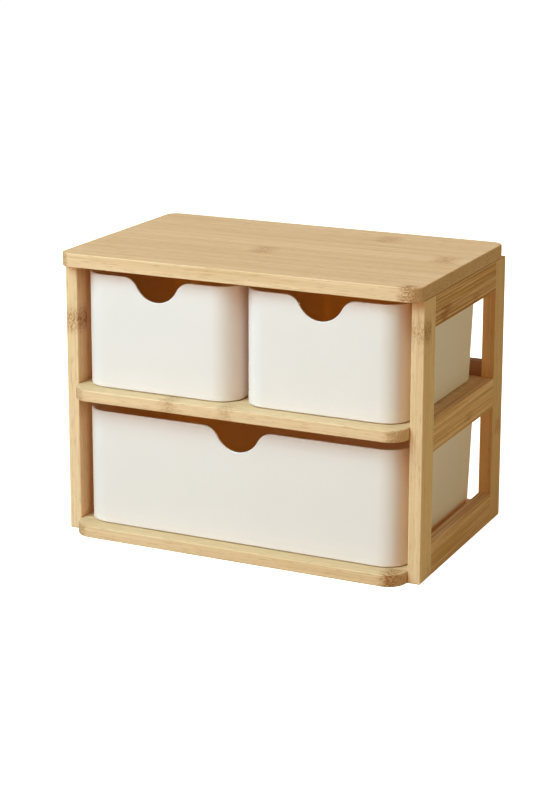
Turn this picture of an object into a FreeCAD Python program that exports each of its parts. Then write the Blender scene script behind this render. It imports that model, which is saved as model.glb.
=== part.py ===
import FreeCAD, Part
import math
import os

# Desktop organizer: a doweled bamboo frame that holds two small drawers above one wide drawer.
# Millimetres, +Z up, the front looks towards -Y, the origin lies under the middle of the footprint.

# Side frames
overall_width = 340.0
frame_depth = 202.0
side_height = 245.0
post_thickness = 11.5
post_depth = 25.5
rail_height = 27.5
edge_round = 1.0

# Top panel
panel_thickness = 12.5
panel_front_overhang = 12.0
panel_rear_setback = 2.5
panel_corner_radius = 11.0

# Shelves
shelf_thickness = 10.5
shelf_protrusion = 17.5
shelf_corner_radius = 17.5
mid_shelf_top = 136.5

# Rear stop bar on the middle shelf
stop_bar_height = 14.0
stop_bar_thickness = 10.0
stop_bar_setback = 2.5

# Drawers
drawer_wall = 2.2
drawer_floor = 2.5
drawer_corner_radius = 22.0
drawer_foot_round = 1.5
drawer_rim_round = 0.8
drawer_front_proud = 2.0
drawer_rear_lean_degrees = 7.0
notch_depth = 20.5
notch_half_width = 33.0
notch_scoop_radius = 21.5

# Room round the drawers
running_gap = 0.3
stop_gap = 0.5
small_drawer_side_gap = 5.7
small_drawer_rim_gap = 5.7
wide_drawer_side_gap = 5.0
wide_drawer_rim_gap = 11.3

# Dowels
dowel_diameter = 6.0
dowel_chamfer = 0.8
glue_gap = 0.1
hole_end_gap = 0.5
rail_dowel_depth_in_post = 13.0
rail_dowel_depth_in_rail = 15.0
shelf_dowel_depth_in_side = 8.0
shelf_dowel_depth_in_shelf = 16.0
shelf_dowel_edge_distance = 6.5
panel_dowel_depth_in_panel = 8.0
panel_dowel_depth_in_rail = 16.0
bar_dowel_depth_in_bar = 16.0
rail_dowel_height_shares = (0.25, 0.75)
panel_dowel_rail_shares = (0.2, 0.5, 0.8)

# Cuts run past the solid by this much, and points closer than the tolerance are one place
overrun = 5.0
same_place = 0.01
quarter_turn = 90

# Planes that the pieces share
outer_x = overall_width / 2
inner_x = outer_x - post_thickness
post_middle_x = outer_x - post_thickness / 2
shelf_front_y = -(shelf_protrusion + frame_depth) / 2
post_front_y = shelf_front_y + shelf_protrusion
frame_rear_y = post_front_y + frame_depth
rail_front_y = post_front_y + post_depth
rail_rear_y = frame_rear_y - post_depth
rail_bottoms = {
    "bottom": 0,
    "mid": mid_shelf_top - rail_height,
    "top": side_height - rail_height,
}
mid_shelf_bottom = mid_shelf_top - shelf_thickness
stop_bar_front_y = rail_rear_y + stop_bar_setback


def point(x, y, z):
    return FreeCAD.Vector(x, y, z)


def box(x_low, x_high, y_low, y_high, z_low, z_high):
    return Part.makeBox(x_high - x_low, y_high - y_low, z_high - z_low, point(x_low, y_low, z_low))


def edges_at(solid, places):
    """The solid's edges that pass through any of the places."""
    found = []
    for edge in solid.Edges:
        gaps = [edge.distToShape(Part.Vertex(place))[0] for place in places]
        if min(gaps) < same_place:
            found.append(edge)
    return found


def rounded_outline(x_low, x_high, y_low, y_high, front_radius, rear_radius, z):
    """Closed outline with rounded corners, counter-clockwise from the front left corner."""
    corners = [
        (x_low + front_radius, y_low + front_radius, front_radius, 2),
        (x_high - front_radius, y_low + front_radius, front_radius, 3),
        (x_high - rear_radius, y_high - rear_radius, rear_radius, 0),
        (x_low + rear_radius, y_high - rear_radius, rear_radius, 1),
    ]
    starts = []
    ends = []
    arcs = []
    for x, y, radius, quarters in corners:
        centre = point(x, y, z)
        first = math.radians(quarters * quarter_turn)
        last = math.radians((quarters + 1) * quarter_turn)
        starts.append(centre + point(math.cos(first), math.sin(first), 0) * radius)
        ends.append(centre + point(math.cos(last), math.sin(last), 0) * radius)
        if radius > 0:
            circle = Part.Circle(centre, point(0, 0, 1), radius)
            arcs.append(Part.Arc(circle, first, last).toShape())
        else:
            arcs.append(None)
    edges = []
    for index, arc in enumerate(arcs):
        if arc is not None:
            edges.append(arc)
        following = starts[(index + 1) % len(starts)]
        edges.append(Part.LineSegment(ends[index], following).toShape())
    return Part.Wire(edges)


def board(outline, thickness):
    return Part.Face(outline).extrude(point(0, 0, thickness))


def dowel(seat, direction, depth_behind, depth_ahead):
    """A dowel across the joint at seat, and the hole drilled for it in both pieces."""
    radius = dowel_diameter / 2
    start = seat - direction * (depth_behind - hole_end_gap)
    length = depth_behind + depth_ahead - 2 * hole_end_gap
    pin = Part.makeCylinder(radius, length, start, direction)
    rims = [edge for edge in pin.Edges if edge.isClosed()]
    pin = pin.makeChamfer(dowel_chamfer, rims)
    mouth = seat - direction * depth_behind
    hole = Part.makeCylinder(radius + glue_gap, depth_behind + depth_ahead, mouth, direction)
    return {"pin": pin, "hole": hole}


def drilled(solid, dowels):
    """The solid with the holes of every dowel that enters it."""
    for each in dowels:
        if solid.BoundBox.intersect(each["hole"].BoundBox):
            solid = solid.cut(each["hole"])
    return solid


def rail_dowels(side):
    """Two dowels in each end of the three rails of one side frame."""
    dowels = []
    ends = [(rail_front_y, point(0, 1, 0)), (rail_rear_y, point(0, -1, 0))]
    for rail_bottom in rail_bottoms.values():
        for share in rail_dowel_height_shares:
            height = rail_bottom + rail_height * share
            for joint_y, direction in ends:
                seat = point(side * post_middle_x, joint_y, height)
                dowels.append(dowel(seat, direction, rail_dowel_depth_in_post, rail_dowel_depth_in_rail))
    return dowels


def shelf_dowels(shelf_top):
    """Three dowels in each end of a shelf: into the front post, the rail and the rear post."""
    dowels = []
    height = shelf_top - shelf_thickness / 2
    places_y = [
        post_front_y + shelf_dowel_edge_distance,
        (rail_front_y + rail_rear_y) / 2,
        frame_rear_y - shelf_dowel_edge_distance,
    ]
    for side in (-1, 1):
        for y in places_y:
            seat = point(side * inner_x, y, height)
            inwards = point(-side, 0, 0)
            dowels.append(dowel(seat, inwards, shelf_dowel_depth_in_side, shelf_dowel_depth_in_shelf))
    return dowels


def panel_dowels():
    """Upright dowels from the top rails into the underside of the top panel."""
    dowels = []
    for side in (-1, 1):
        for share in panel_dowel_rail_shares:
            y = rail_front_y + (rail_rear_y - rail_front_y) * share
            seat = point(side * post_middle_x, y, side_height)
            upwards = point(0, 0, 1)
            dowels.append(dowel(seat, upwards, panel_dowel_depth_in_rail, panel_dowel_depth_in_panel))
    return dowels


def stop_bar_dowels():
    """One dowel in each end of the stop bar, into the rear posts."""
    dowels = []
    y = stop_bar_front_y + stop_bar_thickness / 2
    height = mid_shelf_top + stop_bar_height / 2
    for side in (-1, 1):
        seat = point(side * inner_x, y, height)
        inwards = point(-side, 0, 0)
        dowels.append(dowel(seat, inwards, shelf_dowel_depth_in_side, bar_dowel_depth_in_bar))
    return dowels


def side_span(side):
    """Lowest and highest x of one side frame."""
    return sorted((side * inner_x, side * outer_x))


def front_post(side):
    x_low, x_high = side_span(side)
    solid = box(x_low, x_high, post_front_y, rail_front_y, 0, side_height)
    rounded = [
        point(x_low, post_front_y, side_height / 2),
        point(x_high, post_front_y, side_height / 2),
        point(side * post_middle_x, post_front_y, 0),
        point(side * outer_x, post_front_y + post_depth / 2, 0),
    ]
    return solid.makeFillet(edge_round, edges_at(solid, rounded))


def rear_post(side):
    x_low, x_high = side_span(side)
    solid = box(x_low, x_high, rail_rear_y, frame_rear_y, 0, side_height)
    rounded = [
        point(x_low, frame_rear_y, side_height / 2),
        point(x_high, frame_rear_y, side_height / 2),
        point(side * post_middle_x, frame_rear_y, 0),
        point(side * post_middle_x, frame_rear_y, side_height),
        point(side * outer_x, frame_rear_y - post_depth / 2, 0),
    ]
    return solid.makeFillet(edge_round, edges_at(solid, rounded))


def rail(side, bottom, rounded_corners):
    """A rail between the posts; rounded_corners lists (x, z) of its eased long edges."""
    x_low, x_high = side_span(side)
    solid = box(x_low, x_high, rail_front_y, rail_rear_y, bottom, bottom + rail_height)
    middle_y = (rail_front_y + rail_rear_y) / 2
    rounded = [point(x, middle_y, z) for x, z in rounded_corners]
    return solid.makeFillet(edge_round, edges_at(solid, rounded))


def top_rail(side):
    bottom = rail_bottoms["top"]
    return rail(side, bottom, [(side * outer_x, bottom), (side * inner_x, bottom)])


def mid_rail(side):
    """Its inner top edge stays square, because the shelf lies level against it."""
    bottom = rail_bottoms["mid"]
    corners = [
        (side * outer_x, bottom),
        (side * inner_x, bottom),
        (side * outer_x, bottom + rail_height),
    ]
    return rail(side, bottom, corners)


def bottom_rail(side):
    bottom = rail_bottoms["bottom"]
    corners = [
        (side * outer_x, bottom),
        (side * outer_x, bottom + rail_height),
        (side * inner_x, bottom + rail_height),
    ]
    return rail(side, bottom, corners)


def top_panel():
    front_y = post_front_y - panel_front_overhang
    rear_y = frame_rear_y - panel_rear_setback
    radius = panel_corner_radius
    outline = rounded_outline(-outer_x, outer_x, front_y, rear_y, radius, radius, side_height)
    solid = board(outline, panel_thickness)
    rims = [point(0, front_y, side_height), point(0, front_y, side_height + panel_thickness)]
    return solid.makeFillet(edge_round, edges_at(solid, rims))


def shelf(top):
    """A board between the side frames; only the lip in front of the posts has eased edges."""
    bottom = top - shelf_thickness
    outline = rounded_outline(-inner_x, inner_x, shelf_front_y, frame_rear_y, shelf_corner_radius, 0, bottom)
    lip = board(outline, shelf_thickness)
    rims = [point(0, shelf_front_y, bottom), point(0, shelf_front_y, top)]
    lip = lip.makeFillet(edge_round, edges_at(lip, rims))
    body = box(-inner_x, inner_x, post_front_y, frame_rear_y, bottom, top)
    return lip.fuse(body).removeSplitter()


def rear_stop_bar():
    rear_y = stop_bar_front_y + stop_bar_thickness
    top = mid_shelf_top + stop_bar_height
    solid = box(-inner_x, inner_x, stop_bar_front_y, rear_y, mid_shelf_top, top)
    rounded = [point(0, stop_bar_front_y, top), point(0, rear_y, top)]
    return solid.makeFillet(edge_round, edges_at(solid, rounded))


def drawer_rear_y(height):
    """Rear face of every drawer, which leans back and meets the stop bar at the bar's top edge."""
    touching_y = stop_bar_front_y - stop_gap
    lean = math.tan(math.radians(drawer_rear_lean_degrees))
    return touching_y + (height - stop_bar_height) * lean


def drawer_shell(x_low, x_high, low, high, inset):
    """Closed tub between two heights over the drawer's foot, inset from its outer faces."""
    front_y = post_front_y - drawer_front_proud + inset
    radius = drawer_corner_radius - inset
    outlines = []
    for height in (low, high):
        rear_y = drawer_rear_y(height) - inset
        outlines.append(
            rounded_outline(x_low + inset, x_high - inset, front_y, rear_y, radius, radius, height)
        )
    return Part.makeLoft(outlines, True, True)


def finger_notch(middle_x, rim):
    """Cutter for the scoop in the front rim: a round scoop led in by a tangent curve on each side."""
    radii = (notch_half_width ** 2 + notch_depth ** 2) / (2 * notch_depth)
    lead_radius = radii - notch_scoop_radius
    y = post_front_y - drawer_front_proud - overrun
    scoop_centre = point(middle_x, y, rim - notch_depth + notch_scoop_radius)
    scoop_bottom = point(middle_x, y, rim - notch_depth)
    left_lead_centre = point(middle_x - notch_half_width, y, rim - lead_radius)
    right_lead_centre = point(middle_x + notch_half_width, y, rim - lead_radius)
    left_start = point(middle_x - notch_half_width, y, rim)
    right_end = point(middle_x + notch_half_width, y, rim)

    def between(lead_centre):
        return scoop_centre + (lead_centre - scoop_centre) * (notch_scoop_radius / radii)

    def midway(centre, first, second, radius):
        towards = (first - centre) + (second - centre)
        return centre + towards.normalize() * radius

    left_join = between(left_lead_centre)
    right_join = between(right_lead_centre)
    left_bulge = midway(left_lead_centre, left_start, left_join, lead_radius)
    right_bulge = midway(right_lead_centre, right_end, right_join, lead_radius)
    above = point(0, 0, overrun)
    edges = [
        Part.Arc(left_start, left_bulge, left_join).toShape(),
        Part.Arc(left_join, scoop_bottom, right_join).toShape(),
        Part.Arc(right_join, right_bulge, right_end).toShape(),
        Part.LineSegment(right_end, right_end + above).toShape(),
        Part.LineSegment(right_end + above, left_start + above).toShape(),
        Part.LineSegment(left_start + above, left_start).toShape(),
    ]
    depth = 2 * overrun + drawer_wall
    return Part.Face(Part.Wire(edges)).extrude(point(0, depth, 0))


def rim_edges(solid, rim):
    """Edges that run along the rim and its notch, without the short ones across the wall."""
    found = []
    for edge in solid.Edges:
        limits = edge.BoundBox
        across_wall = abs(limits.YLength - drawer_wall) < same_place and limits.XLength < same_place
        if limits.ZMin > rim - notch_depth - same_place and not across_wall:
            found.append(edge)
    return found


def drawer(x_low, x_high, rim, foot):
    """A moulded tub on its shelf; rim is its height, foot the height that it stands at."""
    outside = drawer_shell(x_low, x_high, 0, rim, 0)
    foot_edges = [edge for edge in outside.Edges if edge.BoundBox.ZMax < same_place]
    outside = outside.makeFillet(drawer_foot_round, foot_edges)
    inside = drawer_shell(x_low, x_high, drawer_floor, rim + overrun, drawer_wall)
    low_edges = [edge for edge in inside.Edges if edge.BoundBox.ZMax < drawer_floor + same_place]
    inside = inside.makeFillet(drawer_foot_round, low_edges)
    tub = outside.cut(inside).cut(finger_notch((x_low + x_high) / 2, rim))
    tub = tub.makeFillet(drawer_rim_round, rim_edges(tub, rim))
    tub.translate(point(0, 0, foot))
    return tub


def drawers():
    small_foot = mid_shelf_top + running_gap
    small_rim = side_height - small_drawer_rim_gap - small_foot
    wide_foot = shelf_thickness + running_gap
    wide_rim = mid_shelf_bottom - wide_drawer_rim_gap - wide_foot
    small_outer_x = inner_x - small_drawer_side_gap
    small_inner_x = small_drawer_side_gap / 2
    wide_x = inner_x - wide_drawer_side_gap
    return {
        "left_small_drawer": drawer(-small_outer_x, -small_inner_x, small_rim, small_foot),
        "right_small_drawer": drawer(small_inner_x, small_outer_x, small_rim, small_foot),
        "wide_drawer": drawer(-wide_x, wide_x, wide_rim, wide_foot),
    }


def pins(dowels):
    return Part.makeCompound([each["pin"] for each in dowels])


def build():
    groups = {
        "left_rail_dowels": rail_dowels(-1),
        "right_rail_dowels": rail_dowels(1),
        "mid_shelf_dowels": shelf_dowels(mid_shelf_top),
        "bottom_shelf_dowels": shelf_dowels(shelf_thickness),
        "top_panel_dowels": panel_dowels(),
        "stop_bar_dowels": stop_bar_dowels(),
    }
    all_dowels = [each for group in groups.values() for each in group]
    wood = {
        "top_panel": top_panel(),
        "mid_shelf": shelf(mid_shelf_top),
        "bottom_shelf": shelf(shelf_thickness),
        "rear_stop_bar": rear_stop_bar(),
    }
    for name, side in (("left", -1), ("right", 1)):
        wood[name + "_front_post"] = front_post(side)
        wood[name + "_rear_post"] = rear_post(side)
        wood[name + "_top_rail"] = top_rail(side)
        wood[name + "_mid_rail"] = mid_rail(side)
        wood[name + "_bottom_rail"] = bottom_rail(side)
    nodes = {name: drilled(solid, all_dowels) for name, solid in wood.items()}
    for name, group in groups.items():
        nodes[name] = pins(group)
    nodes.update(drawers())
    return nodes


os.makedirs("parts", exist_ok=True)
for node, shape in build().items():
    shape.exportStep("parts/" + node + ".step")
    print(node, len(shape.Solids), round(shape.Volume), shape.isValid())
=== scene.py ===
import math

import bmesh
import bpy
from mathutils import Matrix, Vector


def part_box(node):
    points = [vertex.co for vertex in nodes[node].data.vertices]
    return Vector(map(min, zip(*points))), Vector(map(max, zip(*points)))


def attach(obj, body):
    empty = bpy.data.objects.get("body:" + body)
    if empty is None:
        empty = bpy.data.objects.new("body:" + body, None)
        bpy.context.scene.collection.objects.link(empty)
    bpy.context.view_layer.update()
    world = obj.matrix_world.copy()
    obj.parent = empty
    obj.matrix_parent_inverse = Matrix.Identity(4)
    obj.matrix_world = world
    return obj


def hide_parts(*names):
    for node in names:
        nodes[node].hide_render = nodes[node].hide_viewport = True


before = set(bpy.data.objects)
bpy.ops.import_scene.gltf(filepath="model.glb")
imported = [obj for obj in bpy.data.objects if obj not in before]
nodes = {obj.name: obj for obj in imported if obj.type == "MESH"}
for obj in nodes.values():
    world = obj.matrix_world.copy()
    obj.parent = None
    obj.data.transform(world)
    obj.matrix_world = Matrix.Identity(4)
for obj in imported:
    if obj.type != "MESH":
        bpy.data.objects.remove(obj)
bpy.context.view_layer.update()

# Posts: four bamboo uprights, each glued up from strips that run from the foot to the top panel.
# All the bamboo boards share the two effects made here: the laminated strips with their fibres,
# and the knuckle, the mottled band where the cane had a joint.


def connect(tree, target, source):
    """Links a socket to the target, or sets a plain value on it."""
    if isinstance(source, bpy.types.NodeSocket):
        tree.links.new(source, target)
    else:
        target.default_value = source


def maths(tree, operation, *sources):
    """The result of one operation on numbers."""
    node = tree.nodes.new("ShaderNodeMath")
    node.operation = operation
    for target, source in zip(node.inputs, sources):
        connect(tree, target, source)
    return node.outputs["Value"]


def vectors(tree, operation, *sources):
    """The result of one operation on vectors."""
    node = tree.nodes.new("ShaderNodeVectorMath")
    node.operation = operation
    for target, source in zip(node.inputs, sources):
        connect(tree, target, source)
    return node.outputs["Vector"]


def noise(tree, place, stretch, detail):
    """Noise at a place that is first multiplied by the stretch, so a small number makes long streaks."""
    node = tree.nodes.new("ShaderNodeTexNoise")
    node.inputs["Scale"].default_value = 1.0
    node.inputs["Detail"].default_value = detail
    connect(tree, node.inputs["Vector"], vectors(tree, "MULTIPLY", place, stretch))
    return node.outputs["Fac"]


def ramp(tree, value, low, high):
    """Rises smoothly from 0 at low to 1 at high."""
    node = tree.nodes.new("ShaderNodeMapRange")
    node.interpolation_type = "SMOOTHSTEP"
    connect(tree, node.inputs["Value"], value)
    connect(tree, node.inputs["From Min"], low)
    connect(tree, node.inputs["From Max"], high)
    return node.outputs["Result"]


def mixed(tree, factor, first, second):
    """The first colour where the factor is 0 and the second where it is 1."""
    node = tree.nodes.new("ShaderNodeMix")
    node.data_type = "RGBA"
    connect(tree, node.inputs["Factor"], factor)
    connect(tree, node.inputs["A"], first)
    connect(tree, node.inputs["B"], second)
    return node.outputs["Result"]


def parted(tree, vector):
    """The three parts of a vector."""
    node = tree.nodes.new("ShaderNodeSeparateXYZ")
    connect(tree, node.inputs[0], vector)
    return node.outputs


def joined(tree, x, y, z):
    """A vector made of three parts."""
    node = tree.nodes.new("ShaderNodeCombineXYZ")
    for target, source in zip(node.inputs, (x, y, z)):
        connect(tree, target, source)
    return node.outputs["Vector"]


def new_group(name, inputs, outputs):
    """An empty shader group; inputs lists (name, socket type, default) and outputs (name, socket type)."""
    tree = bpy.data.node_groups.new(name, "ShaderNodeTree")
    for label, kind, default in inputs:
        socket = tree.interface.new_socket(label, in_out="INPUT", socket_type="NodeSocket" + kind)
        socket.default_value = default
    for label, kind in outputs:
        tree.interface.new_socket(label, in_out="OUTPUT", socket_type="NodeSocket" + kind)
    given = tree.nodes.new("NodeGroupInput").outputs
    result = tree.nodes.new("NodeGroupOutput").inputs
    return tree, given, result


# How far a strip's edge strays, how much of a strip each layer is shifted by, and where a glue line
# is full and where it ends, from the edge of its strip
edge_wander = 0.0012
layer_shift = 0.43
glue_full = 0.0001
glue_end = 0.0006


def bamboo_strips():
    """Glued strips. X of the place runs along the grain, Y across the strips, Z through the layers."""
    tree, given, result = new_group(
        "bamboo_strips",
        [
            ("Place", "Vector", (0.0, 0.0, 0.0)),
            ("Sawn End", "Float", 0.0),
            ("Strip Width", "Float", 0.03),
            ("Layer Thickness", "Float", 0.006),
            ("Batch", "Float", 0.0),
            ("Contrast", "Float", 0.3),
            ("Streaks", "Float", 0.36),
            ("Stripes", "Float", 0.1),
            ("Seams", "Float", 0.3),
            ("Pale", "Color", (0.84, 0.675, 0.46, 1.0)),
            ("Honey", "Color", (0.715, 0.535, 0.315, 1.0)),
            ("Brown", "Color", (0.38, 0.205, 0.07, 1.0)),
        ],
        [("Colour", "Color"), ("Roughness", "Float"), ("Height", "Float")],
    )
    width = given["Strip Width"]
    brown = given["Brown"]
    along, across, through = parted(tree, given["Place"])

    # Which strip of which layer a point lies in; each strip's edge wanders a little along its length
    wander = noise(tree, joined(tree, along, 0.0, given["Batch"]), (9.0, 1.0, 1.0), 1.0)
    wander = maths(tree, "MULTIPLY", maths(tree, "SUBTRACT", wander, 0.5), edge_wander)
    layer_place = maths(tree, "DIVIDE", through, given["Layer Thickness"])
    layer = maths(tree, "FLOOR", layer_place)
    strip_place = maths(tree, "DIVIDE", maths(tree, "ADD", across, wander), width)
    strip_place = maths(tree, "MULTIPLY_ADD", layer, layer_shift, strip_place)
    strip = maths(tree, "FLOOR", strip_place)
    chance = tree.nodes.new("ShaderNodeTexWhiteNoise")
    connect(tree, chance.inputs["Vector"], joined(tree, strip, layer, given["Batch"]))
    tint = chance.outputs["Value"]

    # Fibres run along the grain and start anew in each strip
    shift = vectors(tree, "MULTIPLY", chance.outputs["Color"], (3.0, 3.0, 3.0))
    fibre_place = vectors(tree, "ADD", given["Place"], shift)
    streaks = noise(tree, fibre_place, (10.0, 620.0, 620.0), 3.0)
    bands = noise(tree, fibre_place, (3.0, 120.0, 120.0), 2.0)
    lines = noise(tree, fibre_place, (4.0, 560.0, 560.0), 3.0)
    dashes = noise(tree, fibre_place, (85.0, 760.0, 760.0), 2.0)

    tone = maths(tree, "MULTIPLY", tint, given["Contrast"])
    tone = maths(tree, "MULTIPLY_ADD", ramp(tree, bands, 0.3, 0.7), 0.34, tone)
    tone = maths(tree, "MULTIPLY_ADD", ramp(tree, streaks, 0.32, 0.68), given["Streaks"], tone)
    colour = mixed(tree, tone, given["Pale"], given["Honey"])
    stripe = maths(tree, "MULTIPLY", ramp(tree, lines, 0.47, 0.62), given["Stripes"])
    colour = mixed(tree, stripe, colour, brown)
    dash = maths(tree, "MULTIPLY", ramp(tree, dashes, 0.54, 0.7), 0.2)
    colour = mixed(tree, dash, colour, brown)

    # Glue lines between strips and between layers
    def edge_distance(place, size):
        part = maths(tree, "FRACT", place)
        nearest = maths(tree, "MINIMUM", part, maths(tree, "SUBTRACT", 1.0, part))
        return maths(tree, "MULTIPLY", nearest, size)

    strip_edge = edge_distance(strip_place, width)
    layer_edge = edge_distance(layer_place, given["Layer Thickness"])
    nearest_edge = maths(tree, "MINIMUM", strip_edge, layer_edge)
    seam = maths(tree, "SUBTRACT", 1.0, ramp(tree, nearest_edge, glue_full, glue_end))
    strength = maths(tree, "MULTIPLY", maths(tree, "ADD", bands, 0.3), given["Seams"])
    colour = mixed(tree, maths(tree, "MULTIPLY", seam, strength), colour, brown)

    # Sawn ends soak up more lacquer, so they are darker, and the fibre bundles show as dots
    dots = ramp(tree, noise(tree, fibre_place, (30.0, 1250.0, 1250.0), 1.0), 0.45, 0.62)
    soaked = maths(tree, "MULTIPLY", given["Sawn End"], maths(tree, "MULTIPLY_ADD", dots, 0.32, 0.26))
    colour = mixed(tree, soaked, colour, brown)

    connect(tree, result["Colour"], colour)
    connect(tree, result["Roughness"], maths(tree, "MULTIPLY_ADD", streaks, 0.16, 0.5))
    relief = maths(tree, "MULTIPLY_ADD", dashes, -0.5, streaks)
    connect(tree, result["Height"], maths(tree, "SUBTRACT", relief, seam))
    return tree


# How far a knuckle's fibres bend along the cane, and how far from its middle it is at full strength
knuckle_bend = 0.012
knuckle_full = 0.0015


def bamboo_knuckle():
    """A patch of dark curly fibres in one strip, laid over the colour and height that come in."""
    tree, given, result = new_group(
        "bamboo_knuckle",
        [
            ("Colour", "Color", (0.8, 0.6, 0.4, 1.0)),
            ("Height", "Float", 0.0),
            ("Place", "Vector", (0.0, 0.0, 0.0)),
            ("Centre", "Vector", (0.0, 0.0, 0.0)),
            ("Strip Width", "Float", 0.03),
            ("Length", "Float", 0.012),
            ("Depth", "Float", 0.6),
            ("Brown", "Color", (0.36, 0.15, 0.035, 1.0)),
        ],
        [("Colour", "Color"), ("Height", "Float")],
    )
    place = given["Place"]
    along, across, _ = parted(tree, vectors(tree, "SUBTRACT", place, given["Centre"]))
    bend = maths(tree, "SUBTRACT", noise(tree, place, (60.0, 240.0, 240.0), 2.0), 0.5)
    along = maths(tree, "ABSOLUTE", maths(tree, "MULTIPLY_ADD", bend, knuckle_bend, along))
    across = maths(tree, "ABSOLUTE", across)
    half_width = maths(tree, "MULTIPLY", given["Strip Width"], 0.5)
    fading_from = maths(tree, "MULTIPLY", half_width, 0.8)
    inside = maths(tree, "SUBTRACT", 1.0, ramp(tree, across, fading_from, half_width))
    patch = maths(tree, "SUBTRACT", 1.0, ramp(tree, along, knuckle_full, given["Length"]))
    swirl = maths(tree, "SUBTRACT", noise(tree, place, (230.0, 640.0, 640.0), 1.5), 0.5)
    curls = maths(tree, "SUBTRACT", 1.0, ramp(tree, maths(tree, "ABSOLUTE", swirl), 0.01, 0.09))
    curls = maths(tree, "MULTIPLY_ADD", curls, 0.75, 0.25)
    mask = maths(tree, "MULTIPLY", maths(tree, "MULTIPLY", patch, curls), inside)
    mask = maths(tree, "MULTIPLY", mask, given["Depth"])
    connect(tree, result["Colour"], mixed(tree, mask, given["Colour"], given["Brown"]))
    connect(tree, result["Height"], maths(tree, "SUBTRACT", given["Height"], mask))
    return tree


strips_group = bamboo_strips()
knuckle_group = bamboo_knuckle()
axis_number = {"X": 0, "Y": 1, "Z": 2}
# The strips are counted from this far outside a board, so that no face of it lies in a glue line
board_margin = 0.0006
fibre_relief = 0.0002


def bamboo(node, grain, strips, layers, size, batch, layer_count=1, knuckles=(), **looks):
    """Bamboo finish for one board. grain, strips and layers name its axes, size is the strip width and
    where the strips are counted from, and knuckles lists (along, across, depth, length)."""
    strip_width, strip_offset = size
    material = bpy.data.materials.new("bamboo_" + node)
    material.use_nodes = True
    tree = material.node_tree
    shader = tree.nodes["Principled BSDF"]
    low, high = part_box(node)
    layer_axis = axis_number[layers]
    layer_thickness = (high[layer_axis] - low[layer_axis] + 2 * board_margin) / layer_count
    coordinates = tree.nodes.new("ShaderNodeTexCoord").outputs
    place = parted(tree, coordinates["Object"])
    place = joined(
        tree,
        place[axis_number[grain]],
        maths(tree, "SUBTRACT", place[axis_number[strips]], strip_offset),
        maths(tree, "SUBTRACT", place[layer_axis], low[layer_axis] - board_margin),
    )
    facing = maths(tree, "ABSOLUTE", parted(tree, coordinates["Normal"])[axis_number[grain]])
    group = tree.nodes.new("ShaderNodeGroup")
    group.node_tree = strips_group
    connect(tree, group.inputs["Place"], place)
    connect(tree, group.inputs["Sawn End"], ramp(tree, facing, 0.02, 0.4))
    group.inputs["Strip Width"].default_value = strip_width
    group.inputs["Layer Thickness"].default_value = layer_thickness
    group.inputs["Batch"].default_value = batch
    for label, value in looks.items():
        group.inputs[label.capitalize()].default_value = value
    colour, height = group.outputs["Colour"], group.outputs["Height"]
    for along, across, depth, length in knuckles:
        knuckle = tree.nodes.new("ShaderNodeGroup")
        knuckle.node_tree = knuckle_group
        connect(tree, knuckle.inputs["Colour"], colour)
        connect(tree, knuckle.inputs["Height"], height)
        connect(tree, knuckle.inputs["Place"], place)
        knuckle.inputs["Centre"].default_value = (along, across - strip_offset, 0.0)
        knuckle.inputs["Strip Width"].default_value = strip_width
        knuckle.inputs["Depth"].default_value = depth
        knuckle.inputs["Length"].default_value = length
        colour, height = knuckle.outputs["Colour"], knuckle.outputs["Height"]
    bump = tree.nodes.new("ShaderNodeBump")
    bump.inputs["Strength"].default_value = 0.3
    bump.inputs["Distance"].default_value = fibre_relief
    connect(tree, bump.inputs["Height"], height)
    connect(tree, shader.inputs["Base Color"], colour)
    connect(tree, shader.inputs["Roughness"], group.outputs["Roughness"])
    connect(tree, shader.inputs["Normal"], bump.outputs["Normal"])
    shader.inputs["Specular IOR Level"].default_value = 0.25
    for slot in nodes[node].material_slots:
        slot.material = material


post_strips = (0.0185, -0.0936)
post_strip_middle = -0.0843
# Painted light: the front posts get a lighter pale and honey, because they are lit from the front.
front_lit_looks = {"pale": (0.87, 0.71, 0.49, 1.0), "honey": (0.75, 0.575, 0.345, 1.0)}
bamboo(
    "left_front_post", "Z", "Y", "X", post_strips, 1.0, knuckles=[(0.1945, post_strip_middle, 0.9, 0.016)],
    **front_lit_looks,
)
bamboo(
    "right_front_post", "Z", "Y", "X", post_strips, 2.0, knuckles=[(0.218, post_strip_middle, 0.7, 0.016)],
    **front_lit_looks,
)
rear_post_strips = (0.0185, 0.0838)
# Painted shade: the rear posts get a darker pale and honey, because they stand in shade behind the drawers
# and the front posts.
rear_shaded_looks = {"pale": (0.76, 0.585, 0.36, 1.0), "honey": (0.645, 0.465, 0.245, 1.0)}
bamboo("left_rear_post", "Z", "Y", "X", rear_post_strips, 3.0, **rear_shaded_looks)
bamboo(
    "right_rear_post", "Z", "Y", "X", rear_post_strips, 4.0, knuckles=[(0.088, 0.1, 0.5, 0.012)],
    **rear_shaded_looks,
)

# Rails: three bamboo sticks a side between the posts, dowelled and glued, with strips on edge,
# so that their outer faces show many fine brown lines.
rail_honey = (0.61, 0.395, 0.17, 1.0)
for batch, side in enumerate(("left", "right")):
    bamboo(
        side + "_top_rail", "Y", "Z", "X", (0.009, 0.21), 11.0 + batch, layer_count=2,
        streaks=0.9, stripes=0.75, seams=0.6, honey=rail_honey,
        knuckles=[(-0.04, 0.228, 0.9, 0.018), (-0.046, 0.2225, 0.8, 0.012), (0.03, 0.2225, 0.5, 0.014)],
    )
    bamboo(
        side + "_mid_rail", "Y", "Z", "X", (0.009, 0.1055), 13.0 + batch, layer_count=2,
        streaks=0.75, stripes=0.3, seams=0.8, honey=(0.69, 0.485, 0.25, 1.0),
        knuckles=[(0.02, 0.118, 0.5, 0.014)],
    )
    bamboo(
        side + "_bottom_rail", "Y", "Z", "X", (0.0195, -0.0125), 15.0 + batch, layer_count=2,
        streaks=0.6, stripes=0.25, honey=rail_honey,
    )

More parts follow.
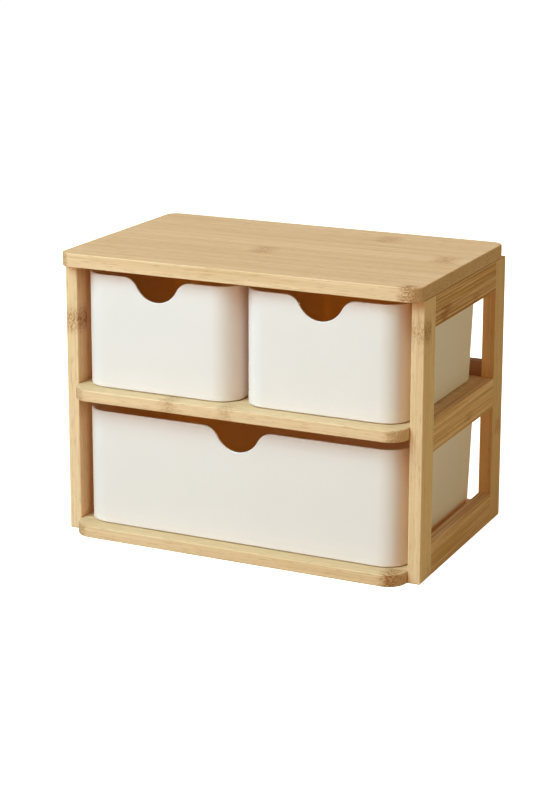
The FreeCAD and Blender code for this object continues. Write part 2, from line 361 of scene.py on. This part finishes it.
# Shelves: two bamboo boards of wide strips on edge, with a rounded lip in front of the posts.
board_strips = (0.03, -0.121)
front_strip_middle = -0.106
bamboo(
    "mid_shelf", "X", "Y", "Z", board_strips, 22.0,
    knuckles=[(-0.06, front_strip_middle, 0.5, 0.012), (-0.005, front_strip_middle, 0.4, 0.01)],
)
bamboo(
    "bottom_shelf", "X", "Y", "Z", board_strips, 21.0,
    knuckles=[(0.148, front_strip_middle, 0.95, 0.013)],
)

# Stop bar: a bamboo stick that stands on the middle shelf and stops the small drawers.
# Painted shade: its pale and honey are much darker than the other boards', standing in for the shade behind
# the drawers.
bamboo(
    "rear_stop_bar", "X", "Z", "Y", (0.02, 0.13), 23.0,
    pale=(0.46, 0.33, 0.23, 1.0), honey=(0.38, 0.25, 0.15, 1.0),
)

# Top panel: a bamboo board of wide strips on edge, with rounded corners and eased edges.
bamboo(
    "top_panel", "X", "Y", "Z", board_strips, 24.0,
    knuckles=[
        (-0.012, -0.016, 0.45, 0.016),
        (0.148, 0.012, 0.5, 0.016),
        (0.07, 0.074, 0.4, 0.016),
        (0.159, front_strip_middle, 0.8, 0.012),
    ],
)

# Dowels: plain beech pins, glued into blind holes, so none of them shows on the finished piece.
beech = bpy.data.materials.new("beech_dowel")
beech.use_nodes = True
beech_tree = beech.node_tree
beech_shader = beech_tree.nodes["Principled BSDF"]
beech_place = beech_tree.nodes.new("ShaderNodeTexCoord").outputs["Object"]
beech_flecks = noise(beech_tree, beech_place, (900.0, 900.0, 900.0), 3.0)
connect(
    beech_tree,
    beech_shader.inputs["Base Color"],
    mixed(beech_tree, beech_flecks, (0.62, 0.43, 0.26, 1.0), (0.48, 0.31, 0.17, 1.0)),
)
beech_shader.inputs["Roughness"].default_value = 0.6
for name, node in nodes.items():
    if name.endswith("_dowels"):
        for slot in node.material_slots:
            slot.material = beech

# Drawers: one-piece white bins, moulded with a thin wall, rounded upright corners, a rear wall that
# leans back and a finger notch scooped out of the front rim. Each slides freely on its shelf.
drawer_wall = 0.0022
drawer_floor = 0.0025
drawer_corner_radius = 0.022
drawer_foot_round = 0.0015
drawer_rim_round = 0.0009
drawer_rear_lean = math.radians(7)
etching_depth = 0.0001
notch_depth = 0.0205
notch_half_width = 0.033
notch_scoop_radius = 0.0215
corner_steps = 16
edge_steps = 5
notch_steps = 56


def notch_drop(offset):
    """How far the front rim lies below the others at this distance from its middle, and its slope there."""
    both_radii = (notch_half_width ** 2 + notch_depth ** 2) / (2 * notch_depth)
    lead_radius = both_radii - notch_scoop_radius
    join = notch_half_width * notch_scoop_radius / both_radii
    distance = abs(offset)
    sign = 1 if offset > 0 else -1
    if distance >= notch_half_width:
        return 0.0, 0.0
    if distance > join:
        run = notch_half_width - distance
        fall = math.sqrt(lead_radius ** 2 - run ** 2)
        return lead_radius - fall, -sign * run / fall
    rise = math.sqrt(notch_scoop_radius ** 2 - distance ** 2)
    return notch_depth - notch_scoop_radius + rise, -sign * distance / rise


def arc_points(centre_x, centre_y, radius, first_quarter):
    """Points of a quarter circle, counter-clockwise, without its last one."""
    points = []
    for step in range(corner_steps):
        angle = math.pi / 2 * (first_quarter + step / corner_steps)
        points.append((centre_x + radius * math.cos(angle), centre_y + radius * math.sin(angle)))
    return points


def drawer_mesh(name, low, high):
    """A tub in rings of points: up its outer side, over the rim, down its inner side to the floor."""
    middle_x = (low.x + high.x) / 2
    left = low.x + drawer_corner_radius
    right = high.x - drawer_corner_radius
    front = low.y + drawer_corner_radius
    notch_places = [
        middle_x + notch_half_width * (2 * step / notch_steps - 1) for step in range(notch_steps + 1)
    ]
    front_places = [left, *notch_places]

    def ring(inset, height):
        """Outline at one height, counter-clockwise, starting with the front left corner."""
        rear = high.y - (high.z - height) * math.tan(drawer_rear_lean)
        radius = drawer_corner_radius - inset
        back = rear - drawer_corner_radius
        points = arc_points(left, front, radius, 2)
        points += [(x, low.y + inset) for x in front_places]
        points += arc_points(right, front, radius, 3)
        points += arc_points(right, back, radius, 0)
        points += arc_points(left, back, radius, 1)
        return [Vector((x, y, height)) for x, y in points]

    def rim_ring(inset, below):
        """As ring, but this far below the rim, measured square to the rim where it dips into the notch."""
        points = ring(inset, high.z - below)
        for index, place in enumerate(front_places):
            drop, slope = notch_drop(place - middle_x)
            length = math.hypot(1, slope)
            point = points[corner_steps + index]
            point.x = place - below * slope / length
            point.z = high.z - drop - below / length
        return points

    quarter = [math.pi / 2 * step / edge_steps for step in range(edge_steps + 1)]
    rings = []
    for angle in reversed(quarter):
        inset = drawer_foot_round * (1 - math.cos(angle))
        rings.append(ring(inset, low.z + drawer_foot_round * (1 - math.sin(angle))))
    below_notch = high.z - notch_depth - 4 * drawer_rim_round
    rings.append(ring(0, (low.z + below_notch) / 2))
    rings.append(ring(0, below_notch))
    for angle in quarter:
        inset = drawer_rim_round * (1 - math.cos(angle))
        rings.append(rim_ring(inset, drawer_rim_round * (1 - math.sin(angle))))
    for angle in reversed(quarter):
        inset = drawer_wall - drawer_rim_round * (1 - math.cos(angle))
        rings.append(rim_ring(inset, drawer_rim_round * (1 - math.sin(angle))))
    rings.append(ring(drawer_wall, below_notch))
    rings.append(ring(drawer_wall, (low.z + below_notch) / 2))
    floor_height = low.z + drawer_floor
    for angle in quarter:
        inset = drawer_wall + drawer_foot_round * (1 - math.cos(angle))
        rings.append(ring(inset, floor_height + drawer_foot_round * (1 - math.sin(angle))))

    mesh = bmesh.new()
    rows = [[mesh.verts.new(point) for point in points] for points in rings]
    for lower, upper in zip(rows, rows[1:]):
        for index in range(len(lower)):
            after = (index + 1) % len(lower)
            mesh.faces.new((lower[index], lower[after], upper[after], upper[index]))
    mesh.faces.new(reversed(rows[0]))
    mesh.faces.new(rows[-1])
    for face in mesh.faces:
        face.smooth = True
    data = bpy.data.meshes.new(name)
    mesh.to_mesh(data)
    mesh.free()
    return data


def moulded_plastic():
    """Warm white plastic from a finely etched mould, a little uneven in gloss."""
    material = bpy.data.materials.new("white_moulded_plastic")
    material.use_nodes = True
    tree = material.node_tree
    shader = tree.nodes["Principled BSDF"]
    place = tree.nodes.new("ShaderNodeTexCoord").outputs["Object"]
    clouds = noise(tree, place, (14.0, 14.0, 14.0), 3.0)
    etching = noise(tree, place, (2600.0, 2600.0, 2600.0), 2.0)
    colour = mixed(tree, clouds, (0.81, 0.785, 0.75, 1.0), (0.79, 0.765, 0.725, 1.0))
    connect(tree, shader.inputs["Base Color"], colour)
    connect(tree, shader.inputs["Roughness"], maths(tree, "MULTIPLY_ADD", clouds, 0.1, 0.32))
    bump = tree.nodes.new("ShaderNodeBump")
    bump.inputs["Strength"].default_value = 0.15
    bump.inputs["Distance"].default_value = etching_depth
    connect(tree, bump.inputs["Height"], etching)
    connect(tree, shader.inputs["Normal"], bump.outputs["Normal"])
    shader.inputs["Specular IOR Level"].default_value = 0.4
    return material


plastic = moulded_plastic()
for name in ("left_small_drawer", "right_small_drawer", "wide_drawer"):
    bin_mesh = drawer_mesh(name + "_bin", *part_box(name))
    bin_mesh.materials.append(plastic)
    drawer_bin = bpy.data.objects.new(name + "_bin", bin_mesh)
    bpy.context.scene.collection.objects.link(drawer_bin)
    drawer_bin.modifiers.new("even_normals", "WEIGHTED_NORMAL")
    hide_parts(name)
    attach(drawer_bin, name)

# Studio: a pale paper floor, soft light from the front left and from above, weaker fills from the right
# and from behind, and a camera in front, a little above the organizer and to the right of it.
floor_half = 30.0
floor_mesh = bpy.data.meshes.new("studio_floor")
floor_mesh.from_pydata(
    [
        (-floor_half, -floor_half, 0.0),
        (floor_half, -floor_half, 0.0),
        (floor_half, floor_half, 0.0),
        (-floor_half, floor_half, 0.0),
    ],
    [],
    [(0, 1, 2, 3)],
)
floor = bpy.data.objects.new("studio_floor", floor_mesh)
bpy.context.scene.collection.objects.link(floor)
paper = bpy.data.materials.new("pale_floor")
paper.use_nodes = True
paper_tree = paper.node_tree
paper_shader = paper_tree.nodes["Principled BSDF"]
paper_shader.inputs["Base Color"].default_value = (0.50, 0.42, 0.32, 1.0)
paper_shader.inputs["Roughness"].default_value = 0.9
# The paper looks white to the camera, yet throws back no more light than a grey desk would
paper_shader.inputs["Emission Color"].default_value = (1.0, 1.0, 1.0, 1.0)
paper_seen = paper_tree.nodes.new("ShaderNodeLightPath").outputs["Is Camera Ray"]
connect(paper_tree, paper_shader.inputs["Emission Strength"], paper_seen)
floor_mesh.materials.append(paper)


def soft_light(name, place, aim, size, power, colour, shadow=True):
    """A square lamp of this size in metres and power in watts, turned to the point that it aims at."""
    light = bpy.data.lights.new(name, "AREA")
    light.shape = "SQUARE"
    light.size = size
    light.energy = power
    light.color = colour
    light.use_shadow = shadow
    light.cycles.use_multiple_importance_sampling = shadow
    lamp = bpy.data.objects.new(name, light)
    lamp.location = place
    lamp.rotation_euler = (Vector(aim) - Vector(place)).to_track_quat("-Z", "Y").to_euler()
    bpy.context.scene.collection.objects.link(lamp)


object_middle = (0.0, 0.0, 0.12)
soft_light("key_light", (-1.1, -2.0, 2.15), object_middle, 1.9, 96.0, (0.645, 0.905, 1.0))
soft_light("low_light", (-0.9, -2.7, 0.9), object_middle, 1.6, 21.0, (0.70, 0.74, 1.0))
soft_light("top_light", (0.0, 0.3, 2.8), object_middle, 2.0, 33.5, (1.0, 0.73, 0.72))
soft_light("right_fill", (2.4, -0.2, 0.6), object_middle, 1.5, 16.5, (0.70, 0.98, 0.79))
soft_light("back_fill", (0.0, 2.6, 0.25), object_middle, 0.5, 34.0, (0.85, 0.95, 1.0))
# Two glows without shadows stand in for the light that the warm boards pass on to each other
soft_light("front_glow", (-0.2, -2.6, 0.3), object_middle, 1.5, 10.5, (1.0, 0.32, 0.0), shadow=False)
soft_light("side_glow", (2.6, 0.2, 0.2), object_middle, 1.5, 8.5, (1.0, 0.30, 0.0), shadow=False)

world = bpy.data.worlds.new("studio_air")
world.use_nodes = True
world_tree = world.node_tree
# A weak warm light all round, which the camera sees as white
air_seen = world_tree.nodes.new("ShaderNodeLightPath").outputs["Is Camera Ray"]
air = mixed(world_tree, air_seen, (0.108, 0.063, 0.011, 1.0), (1.0, 1.0, 1.0, 1.0))
connect(world_tree, world_tree.nodes["Background"].inputs["Color"], air)
bpy.context.scene.world = world
bpy.context.scene.view_settings.view_transform = "Standard"
bpy.context.scene.view_settings.gamma = 0.77

camera = bpy.data.cameras.new("camera")
camera.sensor_width = 36.0
camera.lens = 91.68
camera.shift_y = -0.15
camera_object = bpy.data.objects.new("camera", camera)
camera_object.location = (0.7481, -1.6067, 0.6220)
camera_object.rotation_euler = (math.radians(77.469), math.radians(-0.150), math.radians(25.105))
bpy.context.scene.collection.objects.link(camera_object)
bpy.context.scene.camera = camera_object
